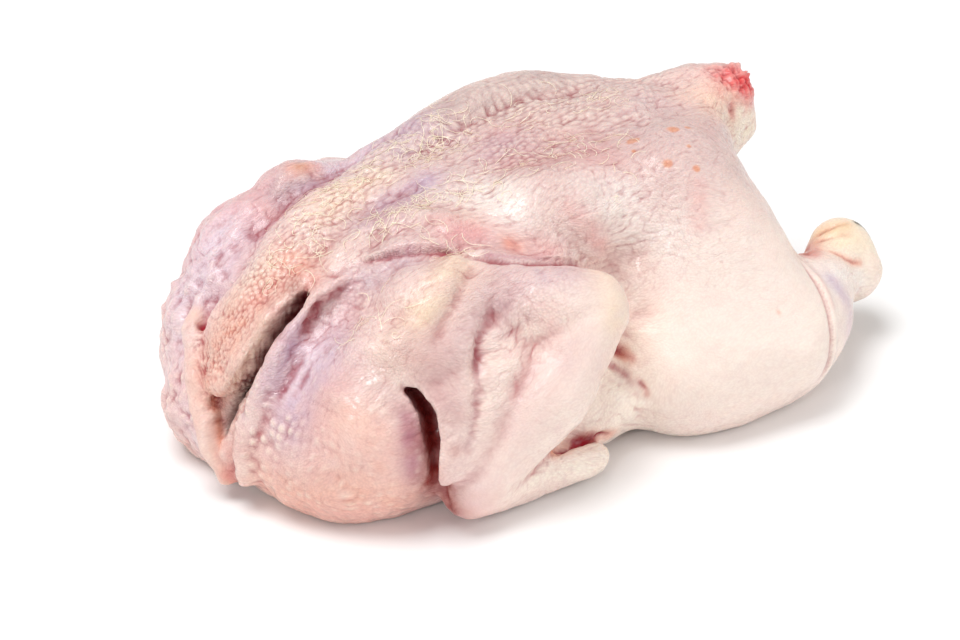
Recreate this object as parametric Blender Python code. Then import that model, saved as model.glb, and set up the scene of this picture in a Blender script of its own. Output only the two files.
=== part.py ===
"""A whole raw chicken, plucked and cleaned, lying on its breast.

The neck end is at -X and the tail at +X.  Its left side is at -Y and its back is up.
The bird is one closed solid.  Its muscles are convex masses, each a skin drawn round a few
balls.  They are fused, smoothed until they read as flesh under one skin, and let down on
the table, which flattens what touches it.
"""

import bmesh
import bpy
import numpy as np

# Driving dimensions, in metres.
LENGTH = 0.262  # from the front of the breast to the ends of the shanks
CORE_VOXEL = 0.0032  # the muscles are fused at this grain, and lose their creases in the smoothing
SKIN_VOXEL = 0.0018  # the wings, neck skin and tail keep theirs
SINK = 0.0035  # depth over which the flesh rounds off into the flat it rests on
TRIANGLES = 9400

# The balls below are placed in layout units: the drawn bird is 307 of them long.
DRAWN_LENGTH = 307
UNIT = LENGTH / DRAWN_LENGTH
CORE_SMOOTHING = 25
SKIN_SMOOTHING = 7

# Where the bones of each side lie: left is the side at -Y.
LEFT = {
    "shoulder": (-70, -46, 77),
    "elbow": (-8, -73, 68),
    "wrist": (-78, -83, 17),
    "tip": (-20, -90, 10),
    "hip": (66, -40, 78),
    "knee": (42, -78, 26),
    "hock": (149, -68, 34),
}
RIGHT = {
    "shoulder": (-58, 54, 79),
    "elbow": (-8, 70, 62),
    "wrist": (-84, 82, 19),
    "tip": (-18, 86, 10),
    "hip": (58, 41, 76),
    "knee": (38, 78, 26),
    "hock": (144, 66, 33),
}
SIDES = ((-1, LEFT), (1, RIGHT))


def ball_points():
    bm = bmesh.new()
    bmesh.ops.create_icosphere(bm, subdivisions=3, radius=1)
    points = np.array([vert.co[:] for vert in bm.verts])
    bm.free()
    return points


BALL = ball_points()


def mass(*balls):
    """The tightest skin round some balls (x, y, z, radius), as (points, faces) in layout units."""
    bm = bmesh.new()
    for ball in balls:
        for point in np.array(ball[:3]) + ball[3] * BALL:
            bm.verts.new(point)
    bmesh.ops.convex_hull(bm, input=bm.verts)
    inner = [vert for vert in bm.verts if not vert.link_faces]
    bmesh.ops.delete(bm, geom=inner, context="VERTS")
    bmesh.ops.recalc_face_normals(bm, faces=bm.faces)
    bm.verts.index_update()
    points = np.array([vert.co[:] for vert in bm.verts])
    faces = [[vert.index for vert in face.verts] for face in bm.faces]
    bm.free()
    return points, faces


def limb(*balls):
    """A run of masses from each ball to the next."""
    return [mass(start, end) for start, end in zip(balls, balls[1:])]


def ribbon(one_edge, other_edge):
    """A run of flat masses between two rows of balls."""
    pairs = list(zip(one_edge, other_edge))
    return [mass(*pair, *following) for pair, following in zip(pairs, pairs[1:])]


def sided(side, *balls):
    """The balls, given for the right side, on the side asked for."""
    return [(x, side * y, z, radius) for x, y, z, radius in balls]


def joined(name, masses):
    """One object that holds all the masses, still overlapping."""
    points = []
    faces = []
    count = 0
    for mass_points, mass_faces in masses:
        points.append(mass_points)
        faces += [[index + count for index in face] for face in mass_faces]
        count += len(mass_points)
    mesh = bpy.data.meshes.new(name)
    mesh.from_pydata((np.concatenate(points) * UNIT).tolist(), [], faces)
    thing = bpy.data.objects.new(name, mesh)
    bpy.context.scene.collection.objects.link(thing)
    return thing


def fuse(thing, voxel, smoothing):
    """Makes the overlapping masses one closed skin."""
    remesh = thing.modifiers.new("one skin", "REMESH")
    remesh.mode = "VOXEL"
    remesh.voxel_size = voxel
    if smoothing:
        smooth = thing.modifiers.new("flesh", "SMOOTH")
        smooth.factor = 0.5
        smooth.iterations = smoothing
    settle(thing)


def settle(thing):
    """Turns the object's modifiers into its mesh."""
    graph = bpy.context.evaluated_depsgraph_get()
    old = thing.data
    thing.data = bpy.data.meshes.new_from_object(thing.evaluated_get(graph), depsgraph=graph)
    thing.modifiers.clear()
    bpy.data.meshes.remove(old)


def read(thing):
    """The object's mesh as (points, faces) in layout units."""
    points = np.empty(len(thing.data.vertices) * 3, np.float32)
    thing.data.vertices.foreach_get("co", points)
    faces = [list(face.vertices) for face in thing.data.polygons]
    return points.reshape(-1, 3).astype(float) / UNIT, faces


def trunk():
    chest = ((-92, 0, 44, 38), (-40, 0, 58, 46), (30, 0, 62, 46))
    return mass(*chest, (75, 0, 74, 38), (102, 0, 90, 18), (109, 0, 70, 27))


def neck():
    """What is left of the neck, a ridge along the back that bends down over the front."""
    return limb((-20, 0, 94, 14), (-78, 0, 87, 14), (-100, 2, 74, 14))


def breast(side):
    """One lobe of the breast, the flank behind it and the flesh over the shoulder."""
    front = sided(side, (-92, 42, 36, 39), (-107, 29, 25, 33), (-98, 36, 20, 34), (-112, 14, 20, 27))
    lobe = mass(*front, *sided(side, (-40, 42, 36, 42), (30, 26, 36, 38)))
    flank = mass(*sided(side, (-20, 60, 22, 25), (26, 56, 22, 25)))
    over = limb(*sided(side, (-84, 50, 60, 27), (-20, 56, 60, 26)))
    return [lobe, flank, *over]


def back(side):
    return mass(*sided(side, (-66, 24, 78, 20), (8, 33, 84, 26), (60, 26, 84, 26), (104, 18, 87, 18)))


def leg(side, bones):
    """The thigh, wide over the hip, and the drumstick that lies folded along it."""
    hip = (*bones["hip"], 36)
    knee = (*bones["knee"], 33)
    calf = sided(side, (81, 85, 26, 33), (88, 28, 82, 23), (103, 84, 27, 26))
    thigh = mass(hip, knee, calf[0], calf[1])
    drumstick = limb(knee, calf[0], calf[2])
    return [thigh, *drumstick]


def uneven_right_side():
    """The right hip sits further forward, and the right breast is pressed out lower and wider."""
    hip = mass((30, 40, 80, 33), (60, 40, 76, 34))
    shoulder_blade = mass((-22, 42, 78, 23), (10, 36, 84, 27))
    breast_front = mass((-112, 26, 20, 32), (-93, 42, 35, 39), (-113, 10, 16, 27))
    over_shoulder = mass((-84, 55, 67, 24), (-60, 52, 70, 25), (-95, 46, 54, 27))
    return [hip, shoulder_blade, breast_front, over_shoulder]


def shank(side, bones):
    """The thin end of the drumstick and the knob of the hock joint."""
    x, y, z = bones["hock"]
    meat = sided(side, (104, 82, 30, 24), (128, 75, 33, 14))
    knob = mass((x + 1, y - 3 * side, z + 4, 15), (x, y + 3 * side, z - 4, 15), (x - 6, y, z, 15))
    return [*limb(*meat, (x, y, z, 14)), knob]


def wing(side, bones):
    """Upper wing, forearm and hand, folded in a Z, with the web of skin across the fold."""
    shoulder = (*bones["shoulder"], 21)
    elbow = (*bones["elbow"], 16)
    wrist = (*bones["wrist"], 13)
    upper = limb(shoulder, *sided(side, (-48, 50, 77, 19), (-34, 62, 72, 19)), elbow)
    forearm = limb(elbow, *sided(side, (-42, 84, 44, 18)), wrist)
    hand = limb(wrist, *sided(side, (-50, 83, 12, 12)), (*bones["tip"], 8))
    edge = sided(side, (-98, 66, 66, 6), (-92, 86, 28, 6))
    web = mass(*edge, (*bones["shoulder"], 10), (*bones["elbow"], 8))
    fold = mass(*sided(side, (-36, 60, 68, 15), (-44, 80, 44, 14), (-13, 74, 62, 15)))
    return [*upper, *forearm, *hand, web, fold]


def neck_skin():
    """The loose skin of the neck: a flat tongue that hangs down the front to the table."""
    left = ((-96, -9, 80, 10), (-115, -10, 71, 8), (-128, -7, 50, 6), (-134, -5, 26, 5), (-135, -2, 8, 5))
    right = ((-90, 13, 80, 9), (-113, 17, 69, 7), (-128, 17, 50, 5), (-136, 12, 24, 4), (-137, 4, 8, 4))
    return ribbon(left, right)


def tail():
    """A thick wedge of flesh and fat, cut off square at the end."""
    root = ((98, -13, 92, 14), (98, 13, 92, 14), (110, 0, 74, 22))
    rump = ((122, -8, 98, 12), (122, 7, 98, 12))
    end = ((140, -5, 96, 11), (140, 3, 96, 11))
    tip = ((147, -5, 76, 8), (147, 2, 76, 8))
    return [mass(*root, *rump), mass(*rump, *end, *tip, root[2])]


def belly():
    """The flesh between the thighs, which rises from the end of the breast to the tail."""
    low = ((40, -26, 36, 36), (40, 26, 36, 36))
    high = ((112, -10, 68, 20), (112, 10, 68, 20))
    return mass(*low, (82, -18, 50, 28), (82, 18, 50, 28), *high)


def slit():
    """The gap between the neck skin and the left breast."""
    inner = ((-94, -13, 72, 2), (-104, -14, 56, 3), (-112, -13, 38, 3), (-122, -12, 24, 2), (-132, -10, 12, 2))
    outer = ((-106, -16, 88, 2), (-124, -18, 64, 3), (-138, -17, 42, 4), (-146, -15, 24, 3), (-150, -12, 10, 2))
    return ribbon(inner, outer)


def wing_pit(side):
    """The pocket between the breast and the front edge of the wing's web."""
    inner = sided(side, (-88, 60, 64, 3), (-87, 68, 52, 4), (-86, 74, 34, 4), (-84, 75, 14, 3))
    outer = sided(side, (-108, 68, 70, 3), (-108, 79, 53, 4.5), (-106, 83, 34, 4.5), (-102, 84, 12, 4))
    return ribbon(inner, outer)


def carve(thing, cutter):
    """Cuts the gaps, and removes what cut them."""
    cut = thing.modifiers.new("gaps", "BOOLEAN")
    cut.operation = "DIFFERENCE"
    cut.object = cutter
    settle(thing)
    bpy.data.objects.remove(cutter)


def thin_out(thing):
    """Leaves only as many faces as the shape needs."""
    thing.data.calc_loop_triangles()
    fewer = thing.modifiers.new("fewer faces", "DECIMATE")
    fewer.ratio = TRIANGLES / len(thing.data.loop_triangles)
    fewer.use_collapse_triangulate = True
    settle(thing)


def rest_on_table(thing):
    """Moves the flesh that would be under the table up to it, with a round edge to the flat."""
    for vert in thing.data.vertices:
        if vert.co.z < -SINK:
            vert.co.z = 0
        elif vert.co.z < SINK:
            vert.co.z = (vert.co.z + SINK) ** 2 / (4 * SINK)


def centre(thing):
    """Brings the middle of the bird's outline over the origin."""
    corners = np.array([vert.co for vert in thing.data.vertices])
    middle = (corners.min(axis=0) + corners.max(axis=0)) / 2
    thing.location = (-middle[0], -middle[1], 0)


def skin_material():
    material = bpy.data.materials.new("raw skin")
    material.use_nodes = True
    shader = material.node_tree.nodes["Principled BSDF"]
    shader.inputs["Base Color"].default_value = (0.80, 0.60, 0.54, 1)
    shader.inputs["Roughness"].default_value = 0.38
    return material


def chicken():
    core = [trunk(), belly(), *uneven_right_side()]
    for side, bones in SIDES:
        core += breast(side)
        core.append(back(side))
        core += leg(side, bones)
    core += neck()
    muscle = joined("muscle", core)
    fuse(muscle, CORE_VOXEL, CORE_SMOOTHING)
    fine = [read(muscle), *neck_skin(), *tail()]
    bpy.data.objects.remove(muscle)
    for side, bones in SIDES:
        fine += wing(side, bones)
        fine += shank(side, bones)
    bird = joined("chicken", fine)
    fuse(bird, SKIN_VOXEL, 0)
    gaps = joined("gaps", slit() + wing_pit(-1) + wing_pit(1))
    fuse(gaps, SKIN_VOXEL / 2, 0)
    carve(bird, gaps)
    fuse(bird, SKIN_VOXEL, SKIN_SMOOTHING)
    thin_out(bird)
    rest_on_table(bird)
    centre(bird)
    return bird


for old_object in list(bpy.data.objects):
    bpy.data.objects.remove(old_object)
bird = chicken()
bird.data.materials.append(skin_material())
bird.data.shade_smooth()
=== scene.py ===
import itertools
import math

import bmesh
import bpy
import numpy as np
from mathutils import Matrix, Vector
from mathutils.bvhtree import BVHTree


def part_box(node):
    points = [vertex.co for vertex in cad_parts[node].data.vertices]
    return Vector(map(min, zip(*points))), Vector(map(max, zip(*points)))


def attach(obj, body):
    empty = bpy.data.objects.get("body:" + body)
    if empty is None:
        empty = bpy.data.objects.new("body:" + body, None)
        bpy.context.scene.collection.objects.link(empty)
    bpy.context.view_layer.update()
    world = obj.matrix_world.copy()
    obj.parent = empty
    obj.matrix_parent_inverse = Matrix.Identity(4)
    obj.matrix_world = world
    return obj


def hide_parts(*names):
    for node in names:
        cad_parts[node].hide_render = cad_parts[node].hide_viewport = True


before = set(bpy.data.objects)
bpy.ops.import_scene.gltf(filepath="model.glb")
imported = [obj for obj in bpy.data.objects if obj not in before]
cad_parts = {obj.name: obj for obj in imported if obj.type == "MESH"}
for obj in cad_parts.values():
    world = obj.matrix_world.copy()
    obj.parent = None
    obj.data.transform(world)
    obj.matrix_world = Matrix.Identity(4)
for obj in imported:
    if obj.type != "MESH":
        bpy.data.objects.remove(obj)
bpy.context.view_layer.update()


# The muscles and bones of the bird, which lies on its breast with its wings and legs folded.
# They are soft flesh held on the bones by the skin. Each is the tightest skin round a few balls
# (x, y, z, radius), laid along the bones, and all are fused and rounded into one body.
LENGTH_IN_UNITS = 306.8
low_corner, high_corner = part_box("chicken")
unit = (high_corner.x - low_corner.x) / LENGTH_IN_UNITS
# how finely the muscles and then the skin are fused, in metres
CORE_GRAIN = 0.0032
SKIN_GRAIN = 0.0013
CORE_ROUNDING = 25
SKIN_ROUNDING = 6
LEFT_BONES = {
    "shoulder": (-70, -46, 77),
    "elbow": (-8, -73, 68),
    "wrist": (-78, -83, 17),
    "tip": (-20, -90, 10),
    "hip": (66, -40, 78),
    "knee": (42, -78, 26),
    "hock": (149, -68, 34),
}
RIGHT_BONES = {
    "shoulder": (-58, 54, 79),
    "elbow": (-8, 70, 62),
    "wrist": (-84, 82, 19),
    "tip": (-18, 86, 10),
    "hip": (58, 41, 76),
    "knee": (38, 78, 26),
    "hock": (144, 66, 33),
}
SIDES = ((-1, LEFT_BONES), (1, RIGHT_BONES))


def ball_points():
    """Points evenly over a ball of radius 1."""
    bm = bmesh.new()
    bmesh.ops.create_icosphere(bm, subdivisions=3, radius=1)
    points = np.array([vert.co[:] for vert in bm.verts])
    bm.free()
    return points


BALL = ball_points()


def mass(*balls):
    """The tightest skin round some balls (x, y, z, radius)."""
    bm = bmesh.new()
    for ball in balls:
        for point in np.array(ball[:3]) + ball[3] * BALL:
            bm.verts.new(point)
    bmesh.ops.convex_hull(bm, input=bm.verts)
    inner = [vert for vert in bm.verts if not vert.link_faces]
    bmesh.ops.delete(bm, geom=inner, context="VERTS")
    bmesh.ops.recalc_face_normals(bm, faces=bm.faces)
    bm.verts.index_update()
    points = np.array([vert.co[:] for vert in bm.verts])
    faces = [[vert.index for vert in face.verts] for face in bm.faces]
    bm.free()
    return points, faces


def limb(*balls):
    """A run of masses from each ball to the next."""
    return [mass(start, end) for start, end in zip(balls, balls[1:])]


def ribbon(one_edge, other_edge):
    """A run of flat masses between two rows of balls."""
    pairs = list(zip(one_edge, other_edge))
    return [mass(*pair, *following) for pair, following in zip(pairs, pairs[1:])]


def sided(side, *balls):
    """The balls, given for the right side, on the side asked for."""
    return [(x, side * y, z, radius) for x, y, z, radius in balls]


def joined(name, masses, shift=(0, 0, 0)):
    """One object that holds all the masses, still overlapping, moved by the shift."""
    points = []
    faces = []
    count = 0
    for mass_points, mass_faces in masses:
        points.append(mass_points)
        faces += [[index + count for index in face] for face in mass_faces]
        count += len(mass_points)
    mesh = bpy.data.meshes.new(name)
    mesh.from_pydata(((np.concatenate(points) + shift) * unit).tolist(), [], faces)
    thing = bpy.data.objects.new(name, mesh)
    bpy.context.scene.collection.objects.link(thing)
    return thing


def settle(thing):
    """Turns the object's modifiers into its mesh."""
    graph = bpy.context.evaluated_depsgraph_get()
    old = thing.data
    thing.data = bpy.data.meshes.new_from_object(thing.evaluated_get(graph), depsgraph=graph)
    thing.modifiers.clear()
    bpy.data.meshes.remove(old)


def fuse(thing, pebble_shaded_tint, rounding, finer=0):
    """Makes the overlapping masses one closed skin, and divides its faces if asked."""
    remesh = thing.modifiers.new("one skin", "REMESH")
    remesh.mode = "VOXEL"
    remesh.voxel_size = pebble_shaded_tint
    if rounding:
        smooth = thing.modifiers.new("flesh", "SMOOTH")
        smooth.factor = 0.5
        smooth.iterations = rounding
    if finer:
        divide = thing.modifiers.new("finer", "SUBSURF")
        divide.levels = finer
        divide.render_levels = finer
    settle(thing)


def corners_of(thing):
    """The object's points, in layout units."""
    points = np.empty(len(thing.data.vertices) * 3, np.float32)
    thing.data.vertices.foreach_get("co", points)
    return points.reshape(-1, 3).astype(float) / unit


def read(thing):
    return corners_of(thing), [list(face.vertices) for face in thing.data.polygons]


def trunk():
    chest = ((-92, 0, 44, 38), (-40, 0, 58, 46), (30, 0, 62, 46))
    rump = ((75, 0, 74, 38), (102, 0, 90, 18), (109, 0, 70, 27))
    low = ((40, -26, 36, 36), (40, 26, 36, 36))
    high = ((112, -10, 68, 20), (112, 10, 68, 20))
    belly = mass(*low, (82, -18, 50, 28), (82, 18, 50, 28), *high)
    return [mass(*chest, *rump), belly]


def neck_ridge():
    """What is left of the neck, a ridge beside the spine that bends down over the front."""
    along_back = ((6, 30, 96, 12), (-31, 31, 92, 13), (-65, 26, 87, 13), (-86, 20, 82, 14))
    under = limb((-20, 0, 90, 14), (-78, 0, 83, 14), (-100, 2, 73, 14))
    return limb(*along_back, (-102, 8, 74, 14)) + under


def breast(side):
    """One lobe of the breast, the flank behind it and the flesh over the shoulder."""
    upper = ((-92, 42, 36, 39), (-107, 29, 25, 33))
    lower = ((-98, 36, 20, 34), (-112, 14, 20, 27))
    front = sided(side, *upper, *lower)
    lobe = mass(*front, *sided(side, (-40, 42, 36, 42), (30, 26, 36, 38)))
    flank_side = ((-20, 60, 22, 25), (26, 54, 22, 25))
    flank_fold = ((-8, 70, 18, 18), (6, 68, 18, 17))
    flank = mass(*sided(side, *flank_side, *flank_fold))
    over = limb(*sided(side, (-84, 50, 60, 27), (-20, 56, 60, 26)))
    return [lobe, flank, *over]


def back(side):
    return mass(*sided(side, (-66, 24, 78, 20), (8, 33, 84, 26), (60, 26, 84, 26), (104, 18, 87, 18)))


def leg(side, bones):
    """The thigh, wide over the hip, and the drumstick that lies folded along it."""
    hip = (*bones["hip"], 36)
    knee = (*bones["knee"], 33)
    calf = sided(side, (81, 85, 26, 33), (88, 28, 82, 23), (103, 84, 27, 26))
    thigh = mass(hip, knee, calf[0], calf[1])
    return [thigh, *limb(knee, calf[0], calf[2])]


def uneven_right_side():
    """The right hip sits further forward, and the right breast is pressed out lower and wider."""
    hip = mass((30, 40, 80, 33), (60, 40, 76, 34))
    shoulder_blade = mass((-22, 42, 78, 23), (10, 36, 84, 27))
    breast_front = mass((-112, 26, 20, 32), (-93, 42, 35, 39), (-113, 10, 16, 27))
    over_shoulder = mass((-84, 55, 67, 24), (-60, 52, 70, 25), (-95, 46, 54, 27))
    return [hip, shoulder_blade, breast_front, over_shoulder]


def shank(side, bones):
    """The thin end of the drumstick and the knob of the hock joint."""
    x, y, z = bones["hock"]
    meat = sided(side, (104, 82, 30, 24), (128, 75, 33, 14))
    knob = mass((x + 1, y - 3 * side, z + 4, 15), (x, y + 3 * side, z - 4, 15), (x - 6, y, z, 15))
    return [*limb(*meat, (x, y, z, 14)), knob]


def wing(side, bones):
    """Upper wing, forearm and hand, folded in a Z, with the web of skin across the fold."""
    shoulder = (*bones["shoulder"], 21)
    elbow = (*bones["elbow"], 16)
    wrist = (*bones["wrist"], 13)
    upper = limb(shoulder, *sided(side, (-48, 50, 77, 19), (-34, 62, 72, 19)), elbow)
    forearm = limb(elbow, *sided(side, (-42, 84, 44, 18)), wrist)
    hand = limb(wrist, *sided(side, (-50, 83, 12, 12)), (*bones["tip"], 8))
    free_edge = (
        (-97, 63, 64, 4), (-92, 71, 62, 4), (-91, 79, 55, 4.5), (-93, 84, 44, 4.5), (-95, 86, 32, 5),
    )
    held_edge = (
        (-68, 48, 77, 10), (-58, 60, 72, 10), (-54, 72, 60, 11), (-60, 78, 46, 11), (-70, 80, 32, 12),
    )
    web = ribbon(sided(side, *free_edge), sided(side, *held_edge))
    fold = mass(*sided(side, (-36, 60, 68, 15), (-44, 80, 44, 14), (-13, 74, 62, 15)))
    return [*upper, *forearm, *hand, *web, fold]


def neck_skin():
    """The loose skin of the neck, a tongue that hangs in a point, and the rolled edges beside it."""
    left = ((-96, -7, 80, 10), (-115, -6, 71, 8), (-128, -3, 58, 5), (-137, 2, 44, 2.5))
    right = ((-90, 15, 80, 9), (-113, 19, 68, 8), (-127, 20, 55, 6), (-137, 6, 44, 2.5))
    right_roll = limb(
        (-112, 42, 66, 3), (-124, 36, 58, 4), (-131, 28, 57, 4), (-137, 18, 47, 4.5),
        (-141, 9, 34, 5), (-143, 2, 23, 5), (-141, -6, 10, 4.5),
    )
    under_roll = limb((-112, 38, 60, 7), (-123, 30, 53, 7), (-129, 20, 44, 6))
    left_roll = limb(
        (-86, -18, 88, 1.5), (-103, -17, 84, 3), (-120, -17, 67, 4), (-130, -16, 50, 5),
        (-136, -16, 32, 5.5), (-138, -17, 15, 6),
    )
    return [*ribbon(left, right), *right_roll, *left_roll, *under_roll]


def neck_folds():
    """What shows in the gap: a pink fold of skin, and the fatty end that it runs into."""
    fold = ((-120, -9, 52, 2), (-130, -7, 40, 2.5), (-135, -6, 28, 3))
    return limb(*fold, (-138, -6, 20, 4.5), (-138, -8, 11, 4.5))


def tail():
    """A thick wedge of flesh and fat, cut off square at the end."""
    root = ((98, -13, 92, 14), (98, 13, 92, 14), (110, 0, 74, 22))
    rump = ((120, -6, 97, 12), (120, 6, 97, 12))
    end = ((138, -4, 95, 10), (138, 3, 95, 10))
    tip = ((145, -4, 76, 8), (145, 2, 76, 8))
    return [mass(*root, *rump), mass(*rump, *end, *tip, root[2])]


def slit():
    """The gap between the neck skin and the left breast."""
    inner = (
        (-96, -12, 76, 1.2), (-108, -11, 64, 2.1), (-116, -8, 50, 3), (-122, -3, 36, 5),
        (-126, -5, 24, 4.5), (-130, -10, 11, 2.5),
    )
    outer = (
        (-106, -13, 94, 1.2), (-124, -12, 78, 2.1), (-142, -7, 58, 3), (-148, -2, 38, 6),
        (-150, -5, 24, 4.5), (-148, -11, 9, 2),
    )
    return ribbon(inner, outer)


def wing_pit(side):
    """The pocket between the breast and the front edge of the wing's web."""
    inner = (
        (-89, 57, 57, 0.8), (-86, 63, 56, 2.1), (-86, 71, 49, 3), (-88, 76, 38, 3),
        (-91, 79, 26, 3), (-90, 82, 12, 2.5),
    )
    outer = (
        (-104, 67, 67, 0.8), (-101, 74, 66, 2.1), (-100, 81, 59, 3), (-102, 86, 48, 3),
        (-106, 89, 36, 3), (-106, 92, 20, 2.5),
    )
    return ribbon(sided(side, *inner), sided(side, *outer))


def flesh():
    """The whole body as one object, with its gaps cut."""
    core = trunk() + neck_ridge() + uneven_right_side()
    for side, bones in SIDES:
        core += breast(side)
        core.append(back(side))
        core += leg(side, bones)
    muscle = joined("muscle", core)
    fuse(muscle, CORE_GRAIN, CORE_ROUNDING, finer=1)
    fine = [read(muscle), *neck_skin(), *tail()]
    bpy.data.objects.remove(muscle)
    for side, bones in SIDES:
        fine += wing(side, bones)
        fine += shank(side, bones)
    body = joined("body", fine)
    fuse(body, SKIN_GRAIN, 0)
    gaps = joined("gaps", slit() + wing_pit(-1) + wing_pit(1))
    fuse(gaps, SKIN_GRAIN / 2, 0)
    cut = body.modifiers.new("gaps", "BOOLEAN")
    cut.operation = "DIFFERENCE"
    cut.object = gaps
    settle(body)
    bpy.data.objects.remove(gaps)
    folded = joined("skin", [read(body), *neck_folds()])
    bpy.data.objects.remove(body)
    fuse(folded, SKIN_GRAIN, SKIN_ROUNDING, finer=1)
    return folded


skin = flesh()
points = corners_of(skin)


# The skin over the flesh.
# It is loose and thin: it creases where the wings and legs fold, stands up in rolls at its cut
# edges, and puckers into rows of follicle bumps where the feathers grew.
SINK = 0.0035 / unit
TABLE_CELLS = 32


def normals_of(thing, places):
    """The outward directions of the skin once its points have moved to these places."""
    thing.data.vertices.foreach_set("co", (places * unit).astype(np.float32).ravel())
    thing.data.update()
    normals = np.empty(len(places) * 3, np.float32)
    thing.data.vertex_normals.foreach_get("vector", normals)
    return normals.reshape(-1, 3).astype(float)


def relief(places, size, seed, stretch=(1, 1, 1)):
    """Smooth uneven relief from -1 to 1, with lumps about this size."""
    table = np.random.default_rng(seed).uniform(-1, 1, (TABLE_CELLS,) * 3)
    scaled = places / (size * np.array(stretch))
    cell = np.floor(scaled).astype(int)
    part = scaled - cell
    part = part * part * (3 - 2 * part)
    total = np.zeros(len(places))
    for corner in itertools.product((0, 1), repeat=3):
        weight = np.prod(np.where(corner, part, 1 - part), axis=1)
        at = (cell + corner) % TABLE_CELLS
        total += weight * table[at[:, 0], at[:, 1], at[:, 2]]
    return total * 1.6


def along(places, path):
    """How far each place is from the path, how far along it, and on which side (its offset)."""
    path = np.array(path, float)
    near = np.full(len(places), np.inf)
    share = np.zeros(len(places))
    offset = np.zeros((len(places), 3))
    heading = np.zeros((len(places), 3))
    lengths = np.linalg.norm(np.diff(path, axis=0), axis=1)
    run = np.concatenate([[0], np.cumsum(lengths)])
    for index, (start, end) in enumerate(zip(path, path[1:])):
        step = end - start
        t = np.clip((places - start) @ step / (step @ step), 0, 1)
        away = places - start - t[:, None] * step
        distance = np.linalg.norm(away, axis=1)
        closer = distance < near
        near[closer] = distance[closer]
        share[closer] = (run[index] + t[closer] * lengths[index]) / run[-1]
        offset[closer] = away[closer]
        heading[closer] = step / lengths[index]
    return near, share, offset, heading


def rounded_path(path, cuts=2):
    """The path with its corners cut off, so that it bends smoothly."""
    path = np.array(path, float)
    for _ in range(cuts):
        first = path[:-1] * 0.75 + path[1:] * 0.25
        second = path[:-1] * 0.25 + path[1:] * 0.75
        middle = np.stack([first, second], axis=1).reshape(-1, 3)
        path = np.concatenate([path[:1], middle, path[-1:]])
    return path


def fade_out(share):
    """Full strength along a path, fading at its ends."""
    return np.clip(np.minimum(share, 1 - share) / 0.18, 0, 1) ** 0.7


def smoothstep(value, low, high):
    t = np.clip((value - low) / (high - low), 0, 1)
    return t * t * (3 - 2 * t)


def press(places, normals, path, width, height):
    """A groove (height below 0) or a ridge along the path."""
    path = rounded_path(path)
    box = (places > path.min(axis=0) - 3 * width) & (places < path.max(axis=0) + 3 * width)
    here = np.flatnonzero(box.all(axis=1))
    near, share, _, _ = along(places[here], path)
    lift = height * np.exp(-((near / width) ** 2)) * fade_out(share)
    places[here] += lift[:, None] * normals[here]


def lap(places, normals, path, width, height):
    """A lapped edge of skin. Seen from outside, it stands up to the left of the path and drops off."""
    path = rounded_path(path)
    box = (places > path.min(axis=0) - 3 * width) & (places < path.max(axis=0) + 3 * width)
    here = np.flatnonzero(box.all(axis=1))
    near, share, offset, heading = along(places[here], path)
    side = np.einsum("ij,ij->i", offset, np.cross(normals[here], heading))
    above = np.exp(-((near / width) ** 2)) * (side > 0)
    under = -0.7 * np.exp(-((near / (0.45 * width)) ** 2)) * (side <= 0)
    blend = smoothstep(near, 0, 2.2)
    lift = height * (above * blend + 0.35 * (1 - blend) + under * blend) * fade_out(share)
    places[here] += lift[:, None] * normals[here]


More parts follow.
